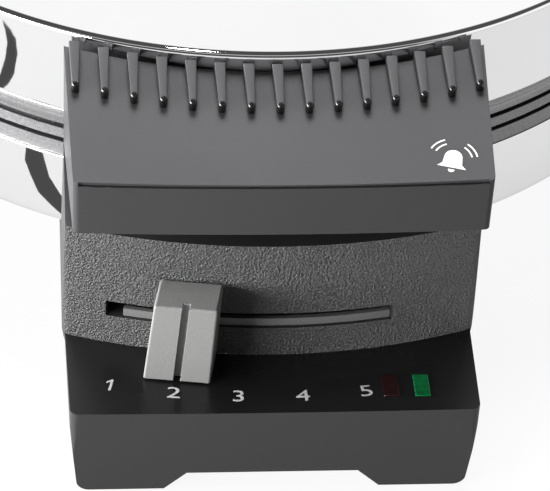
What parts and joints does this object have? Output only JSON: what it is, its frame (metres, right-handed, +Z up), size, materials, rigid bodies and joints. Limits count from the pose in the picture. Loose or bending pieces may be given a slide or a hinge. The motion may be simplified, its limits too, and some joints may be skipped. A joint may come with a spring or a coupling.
{
  "type": "donut maker",
  "caption": "Round chrome donut maker: hinged lid and base with cast ring plates, front handle with heat-guard fins, browning slider and signal lamps.",
  "frame": {"origin": "on the table under the middle of the whole object's box", "axes": "+X to the right seen from the front, +Y from the handle back to the hinge, +Z up; the drum's axis is 11.2 mm behind the origin"},
  "size_m": [0.23, 0.3024, 0.095],
  "materials": {
    "housing_plastic": "fine grained black moulding",
    "handle_plastic": "satin dark grey moulding",
    "knob_plastic": "satin light grey moulding",
    "chrome_sheet": "polished chrome",
    "cast_aluminium": "matt turned rim with black non-stick face",
    "trim_metal": "matt spun aluminium",
    "element_steel": "dark annealed steel tube",
    "bright_sheet": "bright rolled sheet",
    "zinc_steel": "zinc plated steel",
    "ceramic": "ivory ceramic and phenolic",
    "red_lens": "dark red clear moulding",
    "green_lens": "green clear moulding",
    "circuit_board": "green lacquered laminate",
    "lamp_glass": "clear glass",
    "black_part": "plain black moulding",
    "foot_rubber": "black rubber"
  },
  "bodies": {
    "base": {"front_housing": "housing_plastic", "front_base_plate": "housing_plastic", "slot_guide": "black_part", "red_lens": "red_lens", "green_lens": "green_lens", "lamp_board": "circuit_board", "indicator_lamps": "lamp_glass", "buzzer": "black_part", "rear_housing": "housing_plastic", "rear_base_plate": "housing_plastic", "terminal_block": "ceramic", "cord_inlet": "black_part", "lower_shell": "chrome_sheet", "service_cover": "bright_sheet", "lower_plate": "cast_aluminium", "lower_element": "element_steel", "lower_reflector": "bright_sheet", "thermostat": "ceramic", "thermostat_bracket": "bright_sheet", "rubber_feet": "foot_rubber", "hinge_pin": "zinc_steel", "hinge_clips": "zinc_steel", "lower_plate_screws": "zinc_steel", "housing_screws": "zinc_steel", "cover_screws": "zinc_steel"},
    "slider": {"slider_knob": "knob_plastic", "slider_arm": "zinc_steel", "thermostat_spindle": "zinc_steel"},
    "lid": {"lid_shell": "chrome_sheet", "trim_ring": "trim_metal", "upper_plate": "cast_aluminium", "upper_element": "element_steel", "lid_frame": "bright_sheet", "thermal_fuse": "ceramic", "handle": "handle_plastic", "handle_underside": "handle_plastic", "hinge_cover": "housing_plastic", "handle_screws": "zinc_steel", "hinge_cover_screws": "zinc_steel", "upper_plate_screws": "zinc_steel"}
  },
  "joints": [
    {"name": "lid_hinge", "type": "hinge", "parent": "base", "child": "lid", "pos_m": [0, 0.1352, 0.063], "axis": [-1, 0, 0], "range_deg": [0, 100]},
    {"name": "browning_slider", "type": "hinge", "parent": "base", "child": "slider", "pos_m": [0, 0.0112, 0.0354], "axis": [0, 0, 1], "range_deg": [-5.8, 17.6]}
  ]
}
